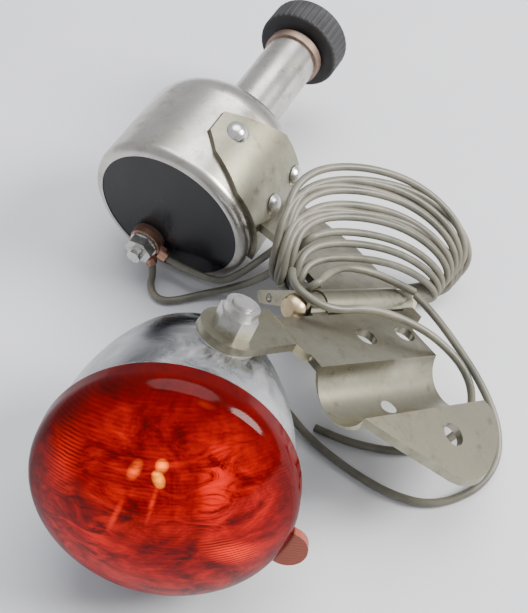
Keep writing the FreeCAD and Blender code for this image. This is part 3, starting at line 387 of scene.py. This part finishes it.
def clear_glass():
    shader = Shader("bulb_glass")
    haze = shader.noise(150, 4, 0.5)
    shader.set(Base_Color=(0.98, 0.98, 0.98, 1), Roughness=shader.spread(haze, 0.3, 0.7, 0.01, 0.05),
               IOR=1.5, Transmission_Weight=1.0)
    return shader.material


def dark_steel(name):
    return worn_metal(name, (0.36, 0.35, 0.34), (0.22, 0.22, 0.21), (0.12, 0.10, 0.08), (0.35, 0.6))


def copper_wire():
    return worn_metal("enamelled_copper", (0.60, 0.28, 0.16), (0.42, 0.19, 0.11), (0.2, 0.1, 0.06),
                      (0.25, 0.4), (1, 1, 14))


FINISHES = {
    "chrome": chrome(), "red_lens": red_lens(), "mirror": mirror(), "bulb_glass": clear_glass(),
    "brass": brass(), "solder": dark_steel("solder"), "insulation": insulation(),
    "plated_steel": plated_steel(), "zinc_steel": zinc_steel(), "spring_steel": spring_steel(),
    "black_cover": black_cover(), "collar": collar_metal(), "black_rubber": rubber(),
    "magnet": dark_steel("magnet"), "core_steel": dark_steel("core_steel"),
    "copper": copper(), "lead_grey": lead_cover(),
}
OWN_FINISH = {"copper_winding": copper_wire(), "lamp_shell": shell_chrome()}


def dress_cad_nodes():
    """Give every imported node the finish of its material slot."""
    for part in frame["record"]["subparts"]:
        node = nodes[part["node"]]
        finish = OWN_FINISH.get(part["node"], FINISHES[part["material_slot"]])
        node.data.materials.clear()
        node.data.materials.append(finish)


# ---------------------------------------------------------------- leads

LEAD = 2.0 * MM
# Outline places of the hank's front and back turns, in millimetres in the bracket's frame.
HANK_FRONT = {"left": (36.5, 18, -5.5), "right": (83, 12.5, -4.6),
              "top": (54, 20.5, 2), "foot": (57, 19, -9.5)}
HANK_BACK = {"left": (33, 27, 2), "right": (87, 13.5, 7.5),
             "top": (57, 34.5, 19.5), "foot": (58, 24, -11)}
# The power that shapes a turn: 1 makes an ellipse, less makes its ends fuller.
FULLNESS = 0.88
# How far apart two layers lie, how far a turn bows out of its layer, and points per half turn.
LAYER = 2.4
SWAY = 0.5
STEPS = 8
# A lead joins its first turn this many points along it.
JOIN = 2

# Routes of the leads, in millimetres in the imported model's frame.
TAIL_LEAD_TO_HANK = [
    (-34.3, 11.0, 4.3), (-34.2, 9.2, 2.2), (-34.8, 6.0, 1.6), (-33.6, 2.2, 1.4), (-30.4, 0.2, 1.4),
    (-25.8, 1.0, 1.4), (-20.4, 2.4, 1.8), (-14.8, 2.6, 3.2), (-10.0, 1.4, 6.4), (-5.8, -0.4, 10.6),
    (-2.2, -2.4, 15.6), (0.4, -4.4, 21.0)]

HEADLAMP_LEAD_TO_HANK = [
    (-29.7, 9.4, 8.4), (-26.8, 7.4, 8.2), (-23.2, 5.1, 8.3), (-19.2, 3.2, 7.8), (-14.8, 1.8, 7.6),
    (-10.2, 2.2, 10.0), (-6.0, 2.2, 14.2), (-3.2, 0.8, 18.8), (-1.2, -1.6, 23.6), (0.1, -4.8, 28.2)]

TAIL_LEAD_TO_LAMP = [
    (34.9, -11.2, 17.0), (37.9, -15.6, 16.8), (41.4, -21.2, 15.8), (45.2, -27.2, 13.6), (48.4, -32.2, 11.2),
    (51.2, -38.0, 8.6), (52.9, -44.2, 5.8), (52.2, -50.9, 3.2), (47.9, -56.8, 1.6), (41.1, -60.6, 1.3),
    (34.0, -61.8, 1.3), (26.6, -59.3, 1.3), (20.2, -55.2, 1.3), (14.0, -50.1, 1.3), (7.4, -43.8, 1.8),
    (1.6, -36.4, 3.6), (-2.8, -28.8, 5.6), (-7.6, -22.4, 7.2), (-13.2, -18.6, 9.0), (-17.4, -20.2, 11.0)]

HEADLAMP_LEAD_END = [
    (3.2, -17.0, 32.9), (2.8, -21.8, 35.2), (5.2, -26.6, 35.9), (10.0, -28.6, 33.6),
    (14.8, -27.8, 31.2), (20.8, -24.8, 28.4), (28.4, -24.6, 25.0), (36.0, -26.2, 21.0), (41.3, -28.6, 17.0),
    (44.8, -31.2, 13.6), (47.0, -34.6, 10.0), (47.0, -38.8, 6.6), (44.2, -43.0, 3.8), (39.2, -46.0, 2.0),
    (33.0, -47.4, 1.4), (26.6, -47.2, 1.4), (20.4, -45.8, 1.4), (14.4, -43.6, 1.4), (9.0, -40.6, 1.4)]

# The turns of the hank in winding order: share at the left side, share at the right, layer.
TAIL_TURNS = [(0.34, 0.26, 0), (0.50, 0.46, 0), (0.66, 0.58, 0), (0.80, 0.74, 0), (0.93, 0.88, 0),
              (1.04, 1.02, 0), (0.86, 0.66, 1), (0.58, 0.36, 1), (0.22, 0.14, 0), (0.04, 0.0, 0)]
HEADLAMP_TURNS = [(0.72, 0.94, 1), (0.42, 0.52, 1)]
# The front turn lies on the foot itself: places in the bracket's frame.
FRONT_ARC = [(36.2, 17.0, -5.4), (34.0, 14.8, -3.2), (33.4, 13.2, -0.8), (34.8, 12.8, 1.2),
             (38.0, 14.4, 1.6), (42.0, 16.6, 1.0), (48.5, 18.6, 1.2), (56.0, 16.2, 1.4),
             (61.0, 11.6, 1.6), (64.8, 7.4, 1.5)]


def metres(points):
    """Places given in millimetres."""
    return [Vector(point) * MM for point in points]


def fuller(value):
    """A sine or cosine pushed outwards, keeping its sign."""
    return math.copysign(abs(value) ** FULLNESS, value)


def hank_point(share, angle, proud):
    """A place on one turn of the hank; share runs from its front turn to its back one."""
    side = {}
    for name in HANK_FRONT:
        side[name] = Vector(HANK_FRONT[name]) * (1 - share) + Vector(HANK_BACK[name]) * share
    centre = (side["left"] + side["right"]) / 2
    across = (side["right"] - side["left"]) / 2
    lift = (1 + math.sin(angle)) / 2
    blend = lift * lift * (3 - 2 * lift)
    upright = (centre - side["foot"]) * (1 - blend) + (side["top"] - centre) * blend
    reach = 1 + proud / across.length
    along, up = fuller(math.cos(angle)), fuller(math.sin(angle))
    return in_bracket(centre + (across * along + upright * up) * reach)


def hank_turns(turns):
    """Wound turns: each goes over the top to the right, then under to the next one's left side."""
    points = []
    for index, (left, right, layer) in enumerate(turns):
        after = turns[index + 1] if index + 1 < len(turns) else turns[index]
        sway = SWAY * math.sin(2.7 * index + 0.6)
        for step in range(STEPS):
            part = step / STEPS
            share = left + (right - left) * part
            proud = layer * LAYER + sway * math.sin(math.pi * part)
            points.append(hank_point(share, math.pi * (1 - part), proud))
        for step in range(STEPS):
            part = step / STEPS
            share = right + (after[0] - right) * part
            proud = (layer + (after[2] - layer) * part) * LAYER
            points.append(hank_point(share, -math.pi * part, proud))
    return points[JOIN:]


def spline_tube(name, points, radius):
    """A round lead along one smooth NURBS line."""
    curve = bpy.data.curves.new(name, "CURVE")
    curve.dimensions = "3D"
    curve.bevel_depth = radius
    curve.bevel_resolution = 5
    curve.resolution_u = 8
    curve.use_fill_caps = True
    spline = curve.splines.new("NURBS")
    spline.points.add(len(points) - 1)
    for control, point in zip(spline.points, points):
        control.co = (*point, 1)
    spline.order_u = 3
    spline.use_endpoint_u = True
    piece = bpy.data.objects.new(name, curve)
    bpy.context.scene.collection.objects.link(piece)
    curve.materials.append(FINISHES["lead_grey"])
    return piece


def line_length(piece):
    """Length of a lead's centre line."""
    curve = piece.data.copy()
    curve.bevel_depth = 0
    probe = bpy.data.objects.new("probe", curve)
    mesh = bpy.data.meshes.new_from_object(probe)
    length = sum((mesh.vertices[edge.vertices[0]].co - mesh.vertices[edge.vertices[1]].co).length
                 for edge in mesh.edges)
    bpy.data.meshes.remove(mesh)
    bpy.data.objects.remove(probe)
    bpy.data.curves.remove(curve)
    return length


def lead(name, points, body, stands_for):
    """One lead with its facts: it rides on a body and stands for CAD nodes."""
    tube = spline_tube(name, points, LEAD / 2)
    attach(tube, body)
    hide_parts(*stands_for)
    line_length(tube)


def leads():
    """The four runs of lead: two wound into the hank, two loose."""
    front = [in_bracket(place) for place in FRONT_ARC]
    tail_wound = metres(TAIL_LEAD_TO_HANK) + hank_turns(TAIL_TURNS) + front
    headlamp_wound = metres(HEADLAMP_LEAD_TO_HANK) + hank_turns(HEADLAMP_TURNS)
    lead("tail_lead_wound", tail_wound, "dynamo", ["tail_lead_start", "lead_hank"])
    lead("headlamp_lead_wound", headlamp_wound, "dynamo", ["headlamp_lead_start"])
    lead("tail_lead_loose", metres(TAIL_LEAD_TO_LAMP), "bracket", ["tail_lead_end"])
    lead("headlamp_lead_loose", metres(HEADLAMP_LEAD_END), "bracket", ["headlamp_lead_end"])


# ---------------------------------------------------------------- stage, light and camera

SET_MIDDLE = Vector((0, 0, 0.02))


def stage():
    """A pale table top that is much larger than the view."""
    mesh = bpy.data.meshes.new("table_top")
    half = 3.0
    corners = [(-half, -half, 0), (half, -half, 0), (half, half, 0), (-half, half, 0)]
    mesh.from_pydata(corners, [], [(0, 1, 2, 3)])
    table = bpy.data.objects.new("table_top", mesh)
    bpy.context.scene.collection.objects.link(table)
    shader = Shader("pale_table")
    mottle = shader.noise(9, 5, 0.55)
    fibre = shader.noise(420, 4, 0.6)
    tone = shader.ramp(mottle, (0.3, (0.60, 0.61, 0.64)), (0.7, (0.66, 0.67, 0.69)))
    shader.set(Base_Color=tone, Roughness=0.62, Normal=shader.bump(fibre, 0.12, 0.0001))
    mesh.materials.append(shader.material)


def area_light(name, place, size, power, color):
    """A round soft light turned to the set."""
    data = bpy.data.lights.new(name, "AREA")
    data.shape = "DISK"
    data.size = size
    data.energy = power
    data.color = color
    light = bpy.data.objects.new(name, data)
    light.location = place
    light.rotation_euler = (SET_MIDDLE - Vector(place)).to_track_quat("-Z", "Y").to_euler()
    bpy.context.scene.collection.objects.link(light)


def lighting():
    """A window on the right, a broad ceiling light and an even room."""
    area_light("window", (0.85, -0.10, 0.62), 0.50, 21, (1.0, 0.975, 0.94))
    area_light("ceiling", (0.25, 0.45, 1.5), 1.5, 28, (0.98, 0.98, 1.0))
    world = bpy.data.worlds.new("room")
    world.use_nodes = True
    background = world.node_tree.nodes["Background"]
    background.inputs["Color"].default_value = (0.95, 0.95, 1.0, 1)
    background.inputs["Strength"].default_value = 0.72
    bpy.context.scene.world = world


def camera():
    """The viewpoint in front of the lamp, looking down at the set."""
    data = bpy.data.cameras.new("camera")
    data.sensor_fit = "HORIZONTAL"
    data.sensor_width = 36
    data.lens = 70.9
    data.clip_start = 0.01
    viewpoint = bpy.data.objects.new("camera", data)
    viewpoint.location = (-0.0035, -0.1822, 0.21655)
    viewpoint.rotation_euler = (math.radians(40), 0, 0)
    bpy.context.scene.collection.objects.link(viewpoint)
    bpy.context.scene.camera = viewpoint


dress_cad_nodes()
leads()
stage()
lighting()
camera()
